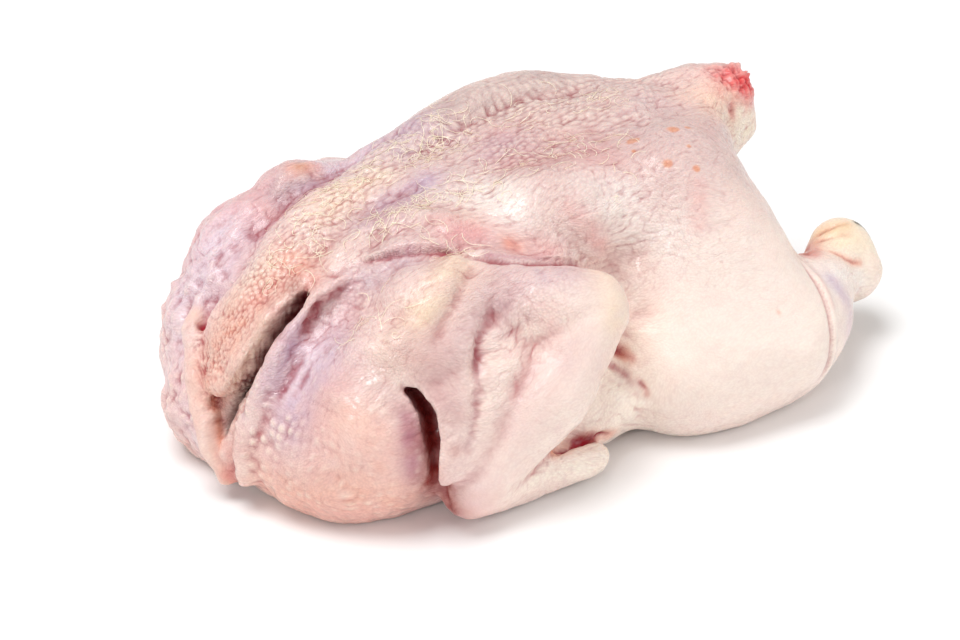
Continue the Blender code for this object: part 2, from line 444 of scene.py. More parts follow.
# groove: path, width, depth
CREASES = (
    (((-116, 34, 68), (-126, 28, 62), (-133, 18, 51), (-138, 9, 42)), 2.4, 3.4),
    (((-39, 22, 102), (-16, 25, 105), (24, 29, 110), (50, 28, 110), (79, 14, 109)), 7, 3.4),
    (((20, 28, 110), (36, 30, 110), (58, 25, 110)), 3, 2.0),
    (((0, 43, 106), (-34, 47, 96), (-63, 43, 95), (-90, 40, 86), (-121, 39, 61)), 6, 2.8),
    (((-30, 4, 105), (-49, 4, 103), (-66, 5, 101), (-84, 1, 97), (-97, -4, 90)), 6, 3.2),
    (((-52, -69, 82), (-64, -73, 75), (-72, -78, 61), (-76, -83, 50), (-86, -87, 38)), 3.4, 3.4),
    (((-36, -68, 84), (-48, -70, 82), (-60, -72, 76)), 7, 1.8),
    (((-48, -50, 96), (-60, -60, 94), (-74, -66, 86), (-88, -68, 76)), 3.5, 1.5),
    (((-67, -76, 67), (-55, -76, 72), (-38, -79, 79)), 5, 2.2),
    (((-60, -82, 52), (-48, -86, 58), (-34, -88, 66)), 5, 1.2),
    (((2, -70, 50), (12, -76, 38), (19, -79, 24), (21, -79, 8)), 3.4, 3.6),
    (((-2, -72, 46), (6, -80, 36), (14, -84, 24), (17, -84, 14)), 2.4, 1.5),
    (((4, -68, 56), (16, -74, 46), (24, -80, 36)), 3, 1.2),
    (((-6, -80, 34), (2, -86, 26), (10, -88, 18)), 2, 1.0),
    (((-40, -89, 21), (-28, -87, 19), (-16, -86, 16), (-3, -86, 12)), 2.2, 3.4),
    (((134, -64, 46), (138, -70, 50), (146, -74, 50)), 1.3, 0.8),
    (((137, -60, 46), (143, -66, 50), (150, -68, 50)), 1.3, 0.8),
    (((130, -78, 48), (136, -83, 43), (143, -83, 40)), 1.3, 0.9),
    (((116, -76, 50), (124, -68, 50), (132, -60, 42)), 2.2, 1.6),
    (((126, -6, 109), (126, -14, 101), (128, -18, 90)), 2.0, 1.0),
    (((-4, -78, 44), (6, -84, 37), (14, -88, 27)), 1.6, 1.0),
    (((-64, -8, 99), (-70, -14, 97), (-76, -18, 94)), 4, 1.6),
    (((-112, -26, 74), (-120, -25, 60), (-126, -24, 48)), 2.4, 1.6),
    (((-110, -30, 76), (-119, -31, 60), (-124, -32, 50)), 2.2, 1.2),
    (((-118, -24, 54), (-127, -24, 42), (-131, -24, 32)), 2.4, 1.4),
    (((-112, 46, 72), (-124, 42, 58), (-132, 34, 44)), 4, 1.8),
    (((-108, 54, 70), (-120, 52, 56), (-128, 46, 42)), 4, 1.6),
    (((-84, 58, 88), (-100, 52, 80), (-112, 50, 68)), 5, 2.0),
    (((24, -60, 84), (26, -66, 74), (22, -74, 62), (16, -80, 52)), 7, 1.8),
)
# lapped edge: path, width, height
LAPS = (
    (((-80, -17, 93), (-71, -25, 96), (-60, -33, 97), (-50, -42, 97)), 6, 2.4),
    (((-50, -44, 97), (-43, -52, 95), (-29, -59, 91), (-14, -60, 86), (0, -60, 80)), 6, 2.6),
    (((102, -86, 58), (99, -106, 45), (94, -114, 29), (86, -114, 14)), 5, 1.5),
)
# ridge: path, width, height
ROLLS = (
    (((135, -4, 106), (139, -5, 107), (142, -6, 105)), 2.6, 3.4),
    (((-64, -6, 100), (-50, -14, 101), (-42, -24, 100), (-46, -34, 98)), 6, 2.2),
    (((-50, -42, 98), (-67, -55, 95), (-80, -59, 89), (-95, -61, 80), (-101, -62, 72)), 4.5, 1.6),
    (((-20, -30, 105), (0, -36, 106), (20, -44, 104)), 14, 1.5),
    (((-98, -66, 70), (-96, -77, 58), (-94, -82, 42), (-92, -86, 26)), 3, 1.4),
    (((-100, -48, 78), (-112, -48, 66), (-120, -48, 54)), 9, 1.6),
    (((-6, -78, 32), (2, -84, 26), (6, -90, 18)), 4, 2.6),
)


def nearness(places, path, reach):
    """1 on the path, falling smoothly to 0 about twice its reach away."""
    near = along(places, rounded_path(path))[0]
    return np.exp(-((near / reach) ** 2))


# tract of feathers: path, reach, strength of its bumps
FINE_TRACTS = (
    (((90, 16, 108), (40, 26, 110), (0, 28, 107), (-50, 28, 100)), 22, 1.0),
    (((60, 0, 112), (24, -6, 110), (-10, -10, 107)), 28, 0.8),
    (((-30, 28, 104), (-70, 22, 96), (-96, 10, 88), (-118, 6, 72), (-132, 4, 50)), 15, 1.3),
    (((-60, -20, 98), (-86, -30, 90), (-104, -40, 78)), 18, 0.6),
    (((20, -50, 100), (50, -66, 92)), 26, 0.45),
)
WIDE_TRACTS = (
    (((-136, -26, 40), (-126, -48, 34), (-112, -68, 26)), 24, 0.95),
    (((-120, -40, 50), (-114, -56, 44)), 20, 0.7),
    (((-134, 30, 40), (-124, 54, 40)), 30, 0.8),
)


def flow(places):
    """Where each place lies along the bird and round it, as the rows of feathers ran."""
    round_body = np.arctan2(places[:, 1], places[:, 2] - 36) * 62
    front = np.clip(-96 - places[:, 0], 0, None)
    length = places[:, 0] * 0.86 - front * 0.9 + (places[:, 2] - 50) * 0.2
    warp = np.stack([relief(places, 22, 51), relief(places, 22, 52)], axis=1) * 2.2
    return np.stack([length, round_body], axis=1) + warp


def chance(cell, seed):
    """A number from -0.5 to 0.5 for each cell, always the same."""
    value = np.sin(cell @ np.array((12.9, 78.2, 37.7)[: cell.shape[1]]) + seed) * 43758.5
    return value - np.floor(value) - 0.5


def follicles(ground, gap, size, seed):
    """How high each place stands on a follicle bump, from 0 to 1. The bumps stand in uneven rows."""
    kinds = ground.shape[1]
    rows = gap * np.array((1.25, 0.85, 0.85)[:kinds])
    best = np.full(len(ground), np.inf)
    home = np.floor(ground / rows).astype(int)
    for step in itertools.product((-1, 0, 1), repeat=kinds):
        cell = home + step
        middle = cell + 0.5
        middle[:, 0] += 0.5 * (cell[:, 1] % 2)
        for axis in range(kinds):
            middle[:, axis] += chance(cell, seed + axis) * 0.5
        away = np.linalg.norm((ground - middle * rows) / (1.45, 0.95, 0.95)[:kinds], axis=1)
        best = np.minimum(best, away / (size * (1 + 0.5 * chance(cell, seed + 9))))
    return np.exp(-(best**2))


def cover(places, areas):
    """How much of a finish each place has, from areas of (path, reach, strength)."""
    amount = np.zeros(len(places))
    for path, reach, strength in areas:
        amount = np.maximum(amount, strength * nearness(places, path, reach))
    return amount


# where the skin is pressed into lumps: path, reach, strength
RIGHT_LOBE = (((-118, 52, 60), (-130, 34, 44), (-138, 20, 24)), 34, 1.0)
LEFT_FOLD = (((-112, -28, 74), (-124, -26, 54), (-134, -22, 28)), 13, 0.4)
# where the skin is smooth and taut: path, reach, strength
TAUT = (
    (((-126, 35, 61), (-137, 18, 47), (-143, 9, 34), (-145, 1, 22), (-142, -7, 9)), 5, 0.8),
    (((30, -96, 46), (66, -108, 40), (96, -104, 40), (84, -92, 66)), 44, 0.88),
    (((30, 96, 46), (66, 108, 40), (96, 104, 40), (84, 92, 66)), 44, 0.88),
    (((-6, -82, 74), (-30, -92, 62), (-66, -90, 36), (-80, -92, 16)), 17, 0.85),
    (((-6, 82, 74), (-30, 92, 62), (-66, 90, 36), (-80, 92, 16)), 17, 0.85),
    (((-80, -64, 84), (-86, -76, 62), (-86, -86, 36)), 12, 0.5),
    (((-80, 64, 84), (-86, 76, 62), (-86, 86, 36)), 12, 0.5),
    (((150, -70, 36), (156, -66, 34)), 24, 1.0),
    (((144, 66, 33), (152, 64, 33)), 24, 1.0),
    (((-114, -58, 50), (-100, -72, 36)), 18, 0.6),
)
# where the flesh of the tail is cut: path, reach, strength
TAIL_END = (((130, -8, 108), (136, -10, 106), (144, -9, 101)), 8, 1.0)
# lumps and nets of creases, from broad to fine, in layout units
BODY_LUMP = 26
LUMPS = (11, 6, 3.4)
NET_MESH = (5.5, 3.0)
# bumps: gap between them, size, height
FINE_BUMPS = (3.2, 1.25, 1.0)
WIDE_BUMPS = (5.0, 1.55, 1.5)
# grains of the cut flesh: size, seed, height
CUT_GRAINS = ((2.8, 12, 1.2), (1.6, 13, 0.8))
CREASE_SHARE = 0.28


def network(places, size, seed, stretch):
    """A net of thin creases with meshes about this size, from 0 to 1."""
    return np.exp(-((relief(places, size, seed, stretch) / CREASE_SHARE) ** 2))


def sculpt(places):
    """Moves the points to the skin's shape, and says how its bumps stand and how loose it is."""
    normals = normals_of(skin, places)
    places += normals * (relief(places, BODY_LUMP, 1) * 0.9)[:, None]
    for path, width, depth in CREASES:
        press(places, normals, path, width, -depth)
    for path, width, height in ROLLS:
        press(places, normals, path, width, height)
    normals = normals_of(skin, places)
    for path, width, height in LAPS:
        lap(places, normals, path, width, height)
    normals = normals_of(skin, places)
    loose = 1 - cover(places, TAUT)
    flat = flow(places)
    drift = [relief(places, 18, seed) for seed in (53, 54, 55)]
    spread = places + np.stack(drift, axis=1) * 3
    right_lobe = cover(places, (RIGHT_LOBE,)) * loose
    left_fold = cover(places, (LEFT_FOLD,)) * loose
    fine = cover(places, FINE_TRACTS) * loose
    wide = cover(places, WIDE_TRACTS) * loose
    lift = relief(places, LUMPS[0], 8) * (0.2 + 0.2 * loose + 0.7 * right_lobe)
    lift += relief(places, LUMPS[1], 2) * (0.22 * loose + 0.7 * right_lobe + 0.5 * left_fold)
    lift += relief(places, LUMPS[2], 9) * (0.5 * right_lobe + 0.25 * left_fold)
    creased = (0.25 + 0.2 * right_lobe) * loose * (1 - 0.7 * wide)
    lift -= network(spread, NET_MESH[0], 10, (2.2, 1, 1)) * creased
    lift -= network(spread, NET_MESH[1], 11, (2.0, 1, 1)) * 0.25 * loose * (1 - 0.8 * wide)
    uneven = 0.75 + 0.35 * relief(places, 9, 6)
    gap, size, height = FINE_BUMPS
    bumps = follicles(flat, gap, size, 0) * fine * uneven
    lift += bumps * height
    gap, size, height = WIDE_BUMPS
    dots = follicles(spread, gap, size, 5) * wide * uneven
    lift += dots * height
    cut = cover(places, (TAIL_END,))
    for size, seed, height in CUT_GRAINS:
        lift += relief(places, size, seed) * height * cut
    places += normals * lift[:, None]
    # the underside lies flat on the table, and rounds off into it
    z = places[:, 2]
    rounded = (z + SINK) ** 2 / (4 * SINK)
    places[:, 2] = np.where(z < -SINK, 0, np.where(z > SINK, z, rounded))
    return bumps, dots, loose, spread


def centring(places):
    """The move that brings the middle of the bird to the middle of the frame."""
    middle = (places.min(axis=0) + places.max(axis=0)) / 2
    aim = (np.array(low_corner) + np.array(high_corner)) / 2 / unit
    shift = aim - middle
    shift[2] = 0
    return shift


bump_height, dot_height, looseness, along_skin = sculpt(points)
to_frame = centring(points)


# The colour of the raw skin.
# It is pale and partly see-through: cream where fat lies under it, pink to red where blood does,
# The tints are laid one by one and run into each other.
# Painted shade darkens the creases, the hollows, the slit and the wing pits, and painted light lifts
# the ridges and the wing tip.
CREAM = (0.93, 0.79, 0.70)
ROSE = (0.78, 0.40, 0.38)
PALE_ROSE = (0.86, 0.63, 0.58)
LILAC = (0.56, 0.40, 0.52)
GREY_LILAC = (0.70, 0.50, 0.49)
MAUVE = (0.46, 0.22, 0.28)
YELLOW_FAT = (0.90, 0.69, 0.50)
WHITE = (0.93, 0.85, 0.80)
RED = (0.72, 0.28, 0.24)
ORANGE = (0.84, 0.36, 0.24)
BROWN = (0.62, 0.28, 0.17)
PIT_SHADE = (0.30, 0.025, 0.02)
SLIT_SHADE = (0.16, 0.035, 0.03)
PLUM = (0.50, 0.21, 0.26)
BACK_GREY = (0.70, 0.53, 0.48)
SPINE = (0.52, 0.385, 0.37)
HIP_MAUVE = (0.62, 0.34, 0.33)
ROLLED_EDGE = (0.88, 0.58, 0.48)
STREAK = (0.80, 0.40, 0.38)
SCAB = (0.72, 0.30, 0.17)
WING_FRONT = (0.65, 0.42, 0.40)
FLANK = (0.98, 0.86, 0.75)
PALE_LILAC = (0.80, 0.64, 0.71)
STRIP_LILAC = (0.60, 0.46, 0.51)
CREASE_RED_AND_SHADE = (0.50, 0.09, 0.06)
TAN = (0.80, 0.57, 0.34)
FOREARM = (0.79, 0.59, 0.55)
TAIL_FAT = (0.98, 0.86, 0.70)
LEG_CREAM = (0.88, 0.75, 0.68)
GREY_BLUE = (0.50, 0.42, 0.47)
BLACK = (0.02, 0.015, 0.012)
SHOULDER = (0.76, 0.54, 0.53)
FLECKING = (0.012, 0.03, 0.03)
CLOUDING = (0.008, 0.022, 0.018)
RIDGE_CREAM_AND_LIGHT = (0.97, 0.84, 0.73)
FOLLICLE_CREAM = (0.99, 0.86, 0.72)
RIGHT_LOBE_PINK = (0.77, 0.47, 0.49)
LEFT_LOBE_PINK = (0.79, 0.53, 0.54)
LOW_PEACH = (0.90, 0.50, 0.38)
CRIMSON = (0.84, 0.04, 0.05)
PINK = (0.86, 0.36, 0.33)
PEACH = (0.91, 0.62, 0.50)
CARTILAGE = (0.91, 0.77, 0.55)
PALE_CARTILAGE = (0.93, 0.88, 0.70)

# tint: colour, path, reach, strength
TINTS = (
    (SPINE, ((-70, 44, 92), (-84, 40, 90)), 12, 0.5),
    (WING_FRONT, ((-62, -60, 92), (-84, -70, 74), (-88, -78, 58)), 15, 0.9),
    (WING_FRONT, ((-66, -24, 96), (-54, -34, 98), (-64, -46, 95)), 13, 0.8),
    (HIP_MAUVE, ((10, 0, 109), (24, -22, 109), (34, -34, 108)), 17, 0.75),
    (LOW_PEACH, ((-126, -34, 26), (-116, -56, 22), (-104, -70, 16)), 17, 0.7),
    (BACK_GREY, ((100, -6, 108), (40, -6, 110), (-40, 6, 104)), 44, 0.8),
    (BACK_GREY, ((70, -50, 104), (20, -44, 102)), 34, 0.6),
    (SHOULDER, ((-104, -36, 78), (-70, -34, 94), (-50, -40, 98)), 26, 0.75),
    (SHOULDER, ((-66, -62, 88), (-40, -64, 90), (-14, -66, 84)), 14, 0.7),
    (RIGHT_LOBE_PINK, ((-80, 58, 84), (-118, 52, 60), (-130, 36, 40), (-124, 50, 12)), 44, 0.9),
    (LEFT_LOBE_PINK, ((-118, -36, 62), (-128, -40, 36), (-110, -66, 26), (-92, -80, 12)), 30, 0.9),
    (LOW_PEACH, ((-134, -30, 10), (-114, -66, 6), (-94, -84, 4)), 16, 0.75),
    (LOW_PEACH, ((-136, 30, 10), (-120, 66, 6), (-96, 84, 4)), 16, 0.6),
    (GREY_LILAC, ((96, -10, 108), (40, -10, 110), (-10, -10, 108)), 40, 0.75),
    (GREY_LILAC, ((60, -50, 104), (30, -56, 96)), 26, 0.5),
    (PALE_ROSE, ((-70, 20, 96), (-30, 26, 104)), 20, 0.6),
    (LILAC, ((-30, 2, 105), (-60, 5, 101), (-66, 4, 101)), 9, 0.85),
    (LILAC, ((0, 44, 106), (-34, 48, 96), (-70, 46, 92)), 9, 0.75),
    (LILAC, ((-96, 44, 84), (-118, 40, 64)), 12, 0.5),
    (ROSE, ((20, 8, 109), (34, -12, 110), (30, -30, 108)), 15, 0.55),
    (LILAC, ((8, -2, 109), (14, 6, 110)), 12, 0.4),
    (MAUVE, ((16, 6, 110), (22, -10, 110), (30, -24, 109)), 10, 0.4),
    (ROSE, ((-84, 50, 88), (-104, 52, 76)), 14, 0.45),
    (PALE_ROSE, ((-128, 40, 50), (-138, 24, 30), (-139, 14, 16)), 26, 0.85),
    (ROSE, ((-133, 36, 46), (-137, 30, 34)), 7, 0.4),
    (PALE_ROSE, ((-134, -32, 30), (-120, -62, 20), (-100, -78, 16)), 22, 0.85),
    (ROSE, ((-130, -46, 14), (-112, -68, 8), (-90, -84, 6)), 13, 0.5),
    (LOW_PEACH, ((-132, -34, 18), (-122, -58, 22), (-108, -72, 20)), 15, 0.7),
    (LILAC, ((-110, -34, 74), (-122, -34, 58), (-128, -36, 48)), 14, 0.8),
    (LILAC, ((-96, -62, 48), (-94, -66, 28)), 9, 0.6),
    (LOW_PEACH, ((-116, -50, 44), (-108, -62, 40)), 16, 0.5),
    (ROSE, ((-88, -26, 90), (-70, -30, 94)), 9, 0.5),
    (YELLOW_FAT, ((-58, -50, 96), (-76, -58, 90), (-96, -60, 78)), 10, 0.7),
    (PALE_ROSE, ((-82, -40, 88), (-100, -46, 78)), 12, 0.6),
    (GREY_LILAC, ((-44, -62, 90), (-56, -68, 84), (-72, -70, 76)), 11, 0.5),
    (MAUVE, ((-50, -69, 83), (-56, -71, 79)), 3.5, 0.5),
    (MAUVE, ((-62, -73, 75), (-70, -77, 64), (-76, -82, 52), (-84, -86, 40)), 2.4, 0.4),
    (LILAC, ((-30, -68, 84), (-14, -70, 80)), 7, 0.55),
    (ROSE, ((-34, -76, 78), (-36, -84, 70)), 5, 0.45),
    (FOREARM, ((-30, -90, 64), (-46, -90, 58), (-64, -90, 44)), 13, 0.85),
    (GREY_BLUE, ((-26, -66, 82), (-10, -68, 81)), 4.5, 0.6),
    (ROSE, ((-24, -76, 72), (-26, -82, 62)), 2.8, 0.45),
    (YELLOW_FAT, ((-4, -76, 80), (-8, -88, 70)), 9, 0.55),
    (LEG_CREAM, ((40, -92, 60), (70, -100, 52), (92, -100, 50)), 30, 0.7),
    (WHITE, ((24, -62, 92), (36, -72, 84)), 12, 0.6),
    (CREAM, ((40, -100, 36), (80, -112, 28), (96, -104, 40)), 24, 0.75),
    (STREAK, ((2, -48, 99), (10, -56, 90), (17, -64, 77)), 5.5, 0.75),
    (LEG_CREAM, ((22, -56, 94), (24, -60, 86)), 10, 0.6),
    (SPINE, ((70, 33, 110), (49, 35, 111), (20, 38, 108)), 14, 0.7),
    (STRIP_LILAC, ((-4, 28, 106), (-22, 30, 104), (-44, 28, 102)), 10, 0.75),
    (MAUVE, ((-46, 0, 101), (-54, -2, 101)), 7, 0.3),
    (BACK_GREY, ((30, 0, 109), (56, 2, 109)), 16, 0.5),
    (WING_FRONT, ((-66, 12, 98), (-78, 5, 93), (-90, 6, 90)), 10, 0.55),
    (STRIP_LILAC, ((-82, -26, 89), (-70, -32, 95)), 9, 0.8),
    (SPINE, ((-60, 50, 98), (-72, 48, 95)), 8, 0.5),
    (PALE_LILAC, ((-90, -20, 84), (-100, -24, 76)), 8, 0.45),
    (PALE_LILAC, ((-112, -30, 66), (-120, -28, 54)), 10, 0.75),
    (LOW_PEACH, ((-119, -58, 54), (-114, -62, 50)), 11, 0.4),
    (PALE_LILAC, ((-28, 50, 96), (-44, 50, 95)), 9, 0.6),
    (PALE_LILAC, ((-100, 50, 82), (-112, 44, 72)), 15, 0.85),
    (PALE_LILAC, ((-122, 48, 60), (-132, 40, 46)), 15, 0.65),
    (PALE_LILAC, ((-141, 20, 30), (-140, 18, 20)), 12, 0.5),
    (WING_FRONT, ((-97, -62, 78), (-86, -70, 76)), 9, 0.75),
    (HIP_MAUVE, ((6, -14, 108), (14, -24, 108)), 12, 0.9),
    (PLUM, ((-46, -36, 99), (-39, -39, 99)), 5, 0.6),
    (STREAK, ((-48, -34, 99), (-38, -38, 99)), 8, 0.5),
    # painted shadow: dark plum lines under the lapped top edge of the wing
    (PLUM, ((-72, -25, 96), (-60, -33, 98), (-51, -41, 98)), 2, 0.6),
    (PLUM, ((-43, -51, 96), (-29, -57, 92), (-14, -58, 88)), 2, 0.6),
    (ROSE, ((-42, -28, 101), (-36, -34, 100)), 9, 0.5),
    (ORANGE, ((-28, -48, 95), (-26, -50, 94)), 3.2, 0.85),
    (ROSE, ((-26, -50, 95), (-12, -58, 88)), 6, 0.5),
    (YELLOW_FAT, ((-30, -28, 105), (-20, -30, 105)), 8, 0.4),
    (WHITE, ((-18, -16, 106), (-16, -34, 104)), 9, 0.85),
    (WHITE, ((-30, -12, 105), (-20, -40, 102)), 8, 0.5),
    (WHITE, ((12, -44, 103), (30, -52, 100)), 9, 0.5),
    (MAUVE, ((-59, -4, 101), (-61, -2, 101)), 4, 0.75),
    (YELLOW_FAT, ((-40, 22, 102), (-70, 16, 98)), 10, 0.45),
    (ORANGE, ((-100, 2, 88), (-118, 4, 76), (-128, 6, 60), (-136, 5, 47)), 13, 0.75),
    (RED, ((-100, -4, 89), (-112, 2, 82), (-124, 12, 66), (-134, 10, 50)), 6, 0.55),
    (RED, ((-96, -12, 90), (-106, -12, 84)), 5, 0.6),
    (YELLOW_FAT, ((-104, 14, 82), (-120, 14, 68), (-128, 12, 56)), 6, 0.5),
    (YELLOW_FAT, ((-120, -8, 74), (-130, -6, 56), (-134, 0, 46)), 3, 0.5),
    (ROLLED_EDGE, ((-126, 35, 61), (-137, 18, 47), (-143, 9, 34), (-145, 1, 22),
                   (-142, -7, 9)), 4.5, 0.95),
    (ORANGE, ((-126, 27, 62), (-134, 15, 48), (-138, 5, 34), (-141, -2, 22),
              (-140, -9, 9)), 2.6, 0.95),
    # painted shade: the dark brown-red inside the slit beside the neck skin
    (SLIT_SHADE, ((-103, -9, 80), (-116, -8, 63), (-125, -5, 48), (-129, -3, 36), (-131, -6, 22),
                (-134, -10, 9)), 6, 1.0),
    (PINK, ((-128, -9, 44), (-134, -8, 32)), 2.6, 0.8),
    (RED, ((-139, -8, 22), (-141, -9, 12)), 4.5, 0.75),
    (LILAC, ((-110, -22, 78), (-124, -19, 58), (-134, -14, 40)), 4, 0.7),
    (FLANK, ((0, -74, 44), (6, -82, 32), (2, -88, 20)), 16, 0.85),
    # the pale wing tip, lifted above its own colour: a painted light where it lies in shade
    (FLANK, ((-66, -92, 14), (-30, -95, 12), (-14, -96, 8)), 9, 0.9),
    (FLANK, ((-4, -84, 32), (-2, -88, 22)), 10, 0.7),
    (ORANGE, ((4, -72, 48), (13, -77, 36), (20, -79, 22), (21, -79, 8)), 3.0, 0.75),
    # dark red at the bottom of the flank crease: partly its own colour, partly painted shade
    (CREASE_RED_AND_SHADE, ((12, -88, 27), (18, -84, 18), (21, -80, 8)), 1.8, 0.8),
    (RED, ((-4, -78, 44), (6, -84, 37), (14, -88, 27)), 1.4, 0.55),
    (RED, ((2, -72, 48), (10, -78, 42), (18, -86, 33)), 1.2, 0.5),
    # wing-tip crease: an orange-red fold with a dark red bottom, partly its own colour, partly painted
    # shade
    (ORANGE, ((-40, -89, 21), (-28, -87, 19), (-16, -86, 16), (-4, -86, 12)), 3.0, 0.85),
    (CREASE_RED_AND_SHADE, ((-30, -87, 20), (-16, -86, 16), (-7, -86, 13)), 1.4, 0.95),
    (PALE_ROSE, ((-80, -92, 10), (-40, -94, 6)), 8, 0.5),
    (PALE_ROSE, ((20, -100, 8), (60, -112, 8), (90, -112, 10)), 7, 0.5),
    (ROSE, ((58, -68, 100), (50, -76, 88)), 4, 0.45),
    (PEACH, ((112, -14, 104), (124, -16, 98)), 13, 0.8),
    (TAIL_FAT, ((126, -22, 92), (134, -18, 86), (142, -14, 78)), 14, 0.95),
    (PEACH, ((118, -16, 104), (124, -15, 100)), 6, 0.6),
    (PINK, ((138, -12, 99), (146, -10, 92)), 6, 0.85),
    (RED, ((126, -12, 104), (127, -14, 98), (128, -18, 90)), 2.0, 0.7),
    (CRIMSON, ((130, -7, 108), (136, -11, 105), (144, -9, 100)), 9, 1.0),
    (WHITE, ((126, -20, 106), (124, -24, 94)), 2.2, 0.6),
    (PALE_ROSE, ((112, 0, 110), (128, 0, 110)), 9, 0.7),
    (ORANGE, ((-60, 52, 100), (-52, 50, 100)), 5, 0.6),
    (BROWN, ((-58, 52, 100), (-56, 52, 100)), 2.4, 0.7),
)
# tint that both sides have: colour, path, reach, strength
BOTH_SIDES = (
    (LEG_CREAM, ((20, -100, 14), (60, -112, 14), (92, -108, 18)), 16, 0.6),
    # painted shade: the breast darkening in plum toward the wing pit
    (PLUM, ((-101, -62, 60), (-100, -72, 54), (-102, -77, 43), (-105, -81, 31),
            (-103, -86, 18)), 6, 0.75),
    # painted shade: the dark maroon inside the wing pit
    (PIT_SHADE, ((-94, -55, 57), (-89, -63, 56), (-88, -70, 49), (-90, -75, 38), (-93, -78, 26),
              (-92, -83, 13)), 9, 1.0),
    (CARTILAGE, ((142, -70, 42), (154, -66, 36), (160, -66, 30)), 15, 0.9),
    (PALE_CARTILAGE, ((160, -62, 40), (163, -66, 30)), 9, 0.8),
    (WHITE, ((112, -96, 48), (124, -86, 42), (140, -82, 32)), 8, 0.7),
    (YELLOW_FAT, ((134, -72, 50), (140, -66, 51)), 6, 0.6),
    (TAN, ((138, -58, 44), (141, -66, 49), (148, -69, 51)), 4.5, 0.6),
    (RED, ((118, -74, 50), (124, -70, 51), (130, -64, 47)), 6.5, 0.85),
    # dark red at the bottom of the crease by the hock: partly its own colour, partly painted shade
    (CREASE_RED_AND_SHADE, ((120, -72, 50), (126, -66, 49), (133, -59, 41)), 4.0, 0.9),
    (BROWN, ((134, -64, 46), (138, -70, 50), (146, -74, 50)), 1.3, 0.5),
    (BROWN, ((137, -60, 46), (143, -66, 50), (150, -68, 50)), 1.3, 0.5),
    (ORANGE, ((130, -78, 48), (136, -83, 43), (143, -83, 40)), 1.6, 0.7),
    (ORANGE, ((152, -80, 32), (150, -82, 24)), 3, 0.4),
    (YELLOW_FAT, ((130, -64, 50), (138, -56, 51), (146, -54, 48)), 5, 0.6),
    (LILAC, ((112, -94, 46), (116, -100, 36), (114, -100, 24)), 6, 0.6),
    (ROSE, ((104, -94, 52), (102, -106, 44)), 2.5, 0.4),
)
# small mark on the left side: colour, path, reach, strength
MARKS = (
    (BLACK, ((156, -68, 49), (160, -69, 46), (160, -72, 44)), 1.5, 1.0),
    (RED, ((-14, -97, 9), (-13, -97, 9)), 1.6, 0.98),
    (ORANGE, ((60, -112, 22), (62, -112, 20)), 1.2, 0.4),
    (ROSE, ((92, -112, 30), (94, -111, 24)), 1.4, 0.4),
    (ORANGE, ((70, -104, 52), (71, -104, 50)), 0.9, 0.45),
    (ROSE, ((88, -104, 46), (90, -104, 43)), 1.6, 0.3),
    (BROWN, ((-40, -92, 44), (-40, -92, 43)), 0.9, 0.5),
    (BROWN, ((-113, -38, 66), (-112, -38, 66)), 1.0, 0.35),
)
# scab: place, radius
SCABS = (
    (52, -33, 110, 2.2), (69, -40, 112, 1.8), (76, -41, 111, 1.5), (52, -54, 106, 2.4),
    (61, -62, 104, 1.7), (65, -53, 110, 1.0), (46, -40, 109, 1.2),
)


def mirrored(tints):
    """The same tints on the other side of the bird."""
    return [
        (colour, [(x, -y, z) for x, y, z in path], reach, strength)
        for colour, path, reach, strength in tints
    ]


def lay_tints(places):
    """The colour of every place: cream, clouded, with the tints laid over it in turn."""
    colours = np.tile(np.array(CREAM), (len(places), 1))
    cloud = relief(places, 15, 21) * 0.55 + relief(places, 6, 22) * 0.45
    mottle = relief(places, 3.4, 23, (2.2, 1, 1))
    fleck = relief(places, 2.0, 24, (1.6, 1, 1)) * 0.6 + mottle * 0.4
    upward = smoothstep(places[:, 2], 60, 108)[:, None]
    colours += (np.array(GREY_LILAC) - colours) * upward * 0.35
    blush = np.clip(cloud * 0.5 + 0.12, 0, 0.5)[:, None]
    colours += (np.array(ROSE) - colours) * blush * 0.35
    laid = (*TINTS, *BOTH_SIDES, *mirrored(BOTH_SIDES), *MARKS)
    for colour, path, reach, strength in laid:
        path = rounded_path(path)
        box = (places > path.min(axis=0) - 5 * reach) & (places < path.max(axis=0) + 5 * reach)
        here = np.flatnonzero(box.all(axis=1))
        edge = along(places[here], path)[0] * (1 + 0.28 * cloud + 0.16 * mottle)[here]
        amount = strength * np.exp(-((edge / reach) ** 2)) * (1 + 0.25 * mottle[here])
        colours[here] += (np.array(colour) - colours[here]) * np.clip(amount, 0, 1)[:, None]
    colours *= 1 + fleck[:, None] * FLECKING + cloud[:, None] * CLOUDING
    for x, y, z, reach in SCABS:
        near = np.linalg.norm(places - (x, y, z), axis=1) * (1 + 0.35 * mottle)
        amount = 0.85 * smoothstep(near, reach * 1.3, reach * 0.7)
        colours += (np.array(SCAB) - colours) * amount[:, None]
    return colours


def hollows(thing, places, rounds):
    """How far each place lies above (or below) the smoothed skin, in layout units."""
    edges = np.empty(len(thing.data.edges) * 2, np.int32)
    thing.data.edges.foreach_get("vertices", edges)
    starts, ends = edges.reshape(-1, 2).T
    count = len(places)
    joins = np.bincount(edges, minlength=count)
    smooth = places.copy()
    for _ in range(rounds):
        for axis in range(3):
            total = np.bincount(starts, weights=smooth[ends, axis], minlength=count)
            total += np.bincount(ends, weights=smooth[starts, axis], minlength=count)
            smooth[:, axis] = total / joins
    return np.einsum("ij,ij->i", places - smooth, normals_of(thing, places))


